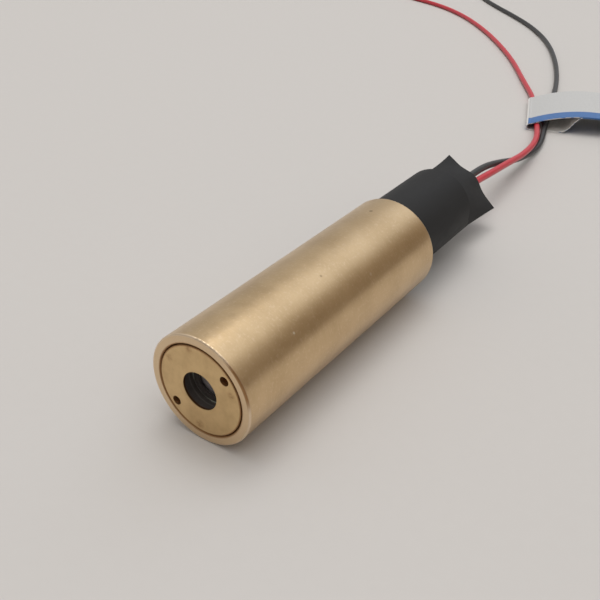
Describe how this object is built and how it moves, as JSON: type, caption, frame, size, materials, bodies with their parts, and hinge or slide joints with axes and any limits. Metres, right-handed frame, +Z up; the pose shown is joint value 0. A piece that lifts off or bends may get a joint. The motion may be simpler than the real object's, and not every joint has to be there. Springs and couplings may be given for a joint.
{
  "type": "laser diode module",
  "caption": "Slim brass laser diode module: round barrel with a screw-in lens cell, driver board in a black shrink sleeve with a pinched end, red and black leads in a folded paper tag.",
  "frame": {"origin": "on the optical axis in the plane of the front face", "axes": "-Y along the beam, out of the front face; +Z up from the surface that the module lies on; +X to the right of someone who looks at the front face"},
  "size_m": [0.1031, 0.2072, 0.012],
  "materials": {
    "barrel_brass": "satin, finely brushed round the axis",
    "cell_brass": "satin, faced",
    "black_plastic": "matt",
    "lens_glass": "polished, coated",
    "spring_steel": "drawn wire",
    "holder_brass": "turned",
    "gold_plate": "plated",
    "chip": "cut die",
    "cap_steel": "pressed",
    "window_glass": "polished",
    "board_green": "solder mask",
    "package_black": "moulded",
    "resistor_black": "glazed ceramic",
    "capacitor_tan": "ceramic",
    "solder": "tinned",
    "sleeve_black": "shrunk tube, matt",
    "lead_red": "satin insulation",
    "lead_black": "satin insulation",
    "tag_paper": "coated paper with a blue edge stripe"
  },
  "bodies": {
    "root": {"barrel": "barrel_brass", "lens_cell": "cell_brass", "lens_stop": "black_plastic", "lens": "lens_glass", "lens_ring": "black_plastic", "spring": "spring_steel", "diode_holder": "holder_brass", "diode_stem": "gold_plate", "laser_chip": "chip", "diode_cap": "cap_steel", "diode_window": "window_glass", "diode_pins": "gold_plate", "driver_board": "board_green", "driver_ic": "package_black", "transistor": "package_black", "resistors": "resistor_black", "capacitors": "capacitor_tan", "solder_joints": "solder", "shrink_sleeve": "sleeve_black", "red_lead": "lead_red", "black_lead": "lead_black", "red_lead_tip": "solder", "black_lead_tip": "solder", "wire_tag": "tag_paper"}
  },
  "joints": []
}
